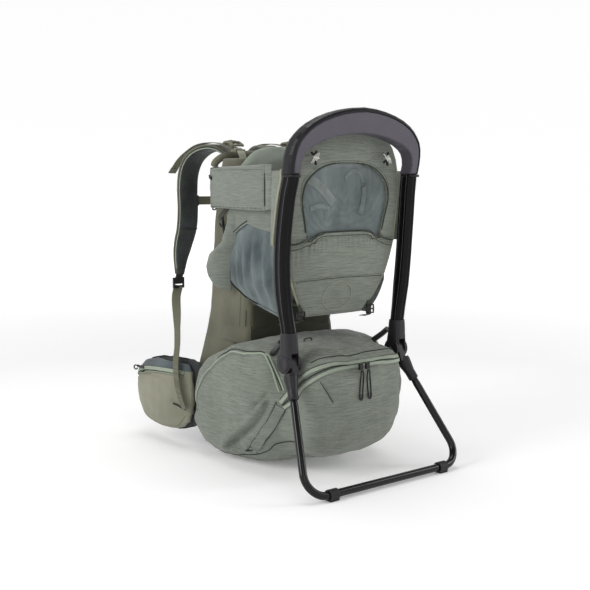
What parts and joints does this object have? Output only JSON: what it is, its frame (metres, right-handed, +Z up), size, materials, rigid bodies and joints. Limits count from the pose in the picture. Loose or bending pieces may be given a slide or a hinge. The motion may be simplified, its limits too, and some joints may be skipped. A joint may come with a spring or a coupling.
{
  "type": "baby carrier backpack",
  "caption": "Framed child carrier backpack with rear hoop and grab arch, folding kickstand, open cockpit with seat, shoulder harness, hip belt with pockets and lower bag.",
  "frame": {"origin": "on the floor, under the middle of the whole object's bounding box", "axes": "+Z up, +Y the way the wearer faces, +X the wearer's right; the hoop and kickstand are at -Y"},
  "size_m": [0.4284, 0.7257, 0.764],
  "materials": {
    "frame_black": "anodised black, satin",
    "arch_grey": "fine matte grain",
    "knuckle_grey": "fine matte grain",
    "tube_black": "gloss black",
    "rubber": "matte",
    "steel": "brushed",
    "aluminium": "satin",
    "heather": "heathered sage green weave",
    "olive": "smooth olive stretch fabric",
    "mesh_blue": "blue-grey mesh",
    "mesh_dark": "dark spacer mesh",
    "pad_green": "soft brushed green",
    "webbing": "woven webbing",
    "buckle": "satin moulded",
    "hook_light": "light grey moulded",
    "cord_black": "cord"
  },
  "bodies": {
    "carrier": {"hoop_leg_left": "frame_black", "hoop_leg_right": "frame_black", "arch_rim": "frame_black", "arch_face": "arch_grey", "knuckle_left": "knuckle_grey", "knuckle_right": "knuckle_grey", "pivot_pin_left": "steel", "pivot_pin_right": "steel", "back_frame_tube": "aluminium", "column_cover_left": "olive", "column_cover_right": "olive", "lumbar_pad": "mesh_dark", "lower_bag": "heather", "rear_panel": "heather", "window_mesh": "mesh_blue", "side_panel_left": "heather", "side_panel_right": "heather", "seat_side_left": "mesh_blue", "seat_side_right": "mesh_blue", "leg_cuff_left": "pad_green", "leg_cuff_right": "pad_green", "drool_pad": "pad_green", "canopy_hook_left": "hook_light", "canopy_hook_right": "hook_light", "lifter_buckle_left": "buckle", "lifter_buckle_right": "buckle", "load_lifter_left": "webbing", "load_lifter_right": "webbing", "strap_webbing_left": "webbing", "strap_webbing_right": "webbing"},
    "kickstand": {"kickstand_tube": "tube_black", "kickstand_socket_left": "knuckle_grey", "kickstand_socket_right": "knuckle_grey", "kickstand_foot_left": "rubber", "kickstand_foot_right": "rubber"},
    "shoulder_harness": {"yoke_pad": "olive", "shoulder_strap_left": "mesh_dark", "shoulder_strap_right": "mesh_dark", "strap_ladder_lock_left": "buckle", "strap_ladder_lock_right": "buckle"},
    "sternum_strap": {"sternum_webbing_left": "webbing", "sternum_webbing_right": "webbing", "sternum_buckle_female": "buckle", "sternum_buckle_male": "buckle"},
    "hip_wing_left": {"hip_wing_left": "mesh_dark", "hip_pocket_left": "olive", "hip_belt_webbing_left": "webbing", "hip_buckle_female": "buckle"},
    "hip_wing_right": {"hip_wing_right": "mesh_dark", "hip_pocket_right": "olive", "hip_belt_webbing_right": "webbing", "hip_buckle_male": "buckle"},
    "hip_zip_left": {"hip_zip_slider_left": "buckle"},
    "hip_zip_right": {"hip_zip_slider_right": "buckle"},
    "child_seat": {"seat_pad": "pad_green", "harness_straps": "webbing"},
    "bag_zip_left": {"bag_zip_slider_left": "buckle"},
    "bag_zip_right": {"bag_zip_slider_right": "buckle"},
    "bag_pull_left": {"bag_zip_pull_left": "cord_black"},
    "bag_pull_right": {"bag_zip_pull_right": "cord_black"}
  },
  "joints": [
    {"name": "kickstand_fold", "type": "hinge", "parent": "carrier", "child": "kickstand", "pos_m": [0, -0.2128, 0.25], "axis": [1, 0, 0], "range_deg": [0, 50]},
    {"name": "torso_slide", "type": "slide", "parent": "carrier", "child": "shoulder_harness", "axis": [0, 0, 1], "range_m": [-0.1, 0.015], "deforming": ["load_lifter_left", "load_lifter_right", "strap_webbing_left", "strap_webbing_right"]},
    {"name": "sternum_slide", "type": "slide", "parent": "shoulder_harness", "child": "sternum_strap", "axis": [0, 0, 1], "range_m": [-0.03, 0.03]},
    {"name": "hip_wing_left_swing", "type": "hinge", "parent": "carrier", "child": "hip_wing_left", "pos_m": [-0.136, 0.1112, 0.13], "axis": [0, 0, 1], "range_deg": [-8, 30]},
    {"name": "hip_wing_right_swing", "type": "hinge", "parent": "carrier", "child": "hip_wing_right", "pos_m": [0.136, 0.1112, 0.13], "axis": [0, 0, -1], "range_deg": [-8, 30]},
    {"name": "hip_zip_left_slide", "type": "slide", "parent": "hip_wing_left", "child": "hip_zip_left", "axis": [-0.0599, -0.9982, 0], "range_m": [0, 0.08]},
    {"name": "hip_zip_right_slide", "type": "slide", "parent": "hip_wing_right", "child": "hip_zip_right", "axis": [0.0599, -0.9982, 0], "range_m": [0, 0.08]},
    {"name": "seat_height", "type": "slide", "parent": "carrier", "child": "child_seat", "axis": [0, 0, 1], "range_m": [0, 0.05]},
    {"name": "bag_zip_left_slide", "type": "slide", "parent": "carrier", "child": "bag_zip_left", "axis": [-1, 0, 0], "range_m": [0, 0.05]},
    {"name": "bag_zip_right_slide", "type": "slide", "parent": "carrier", "child": "bag_zip_right", "axis": [1, 0, 0], "range_m": [0, 0.07]},
    {"name": "bag_pull_left_swing", "type": "hinge", "parent": "bag_zip_left", "child": "bag_pull_left", "pos_m": [-0.016, -0.2853, 0.23], "axis": [-1, 0, 0], "range_deg": [0, 80]},
    {"name": "bag_pull_right_swing", "type": "hinge", "parent": "bag_zip_right", "child": "bag_pull_right", "pos_m": [0.002, -0.2853, 0.23], "axis": [-1, 0, 0], "range_deg": [0, 80]}
  ]
}
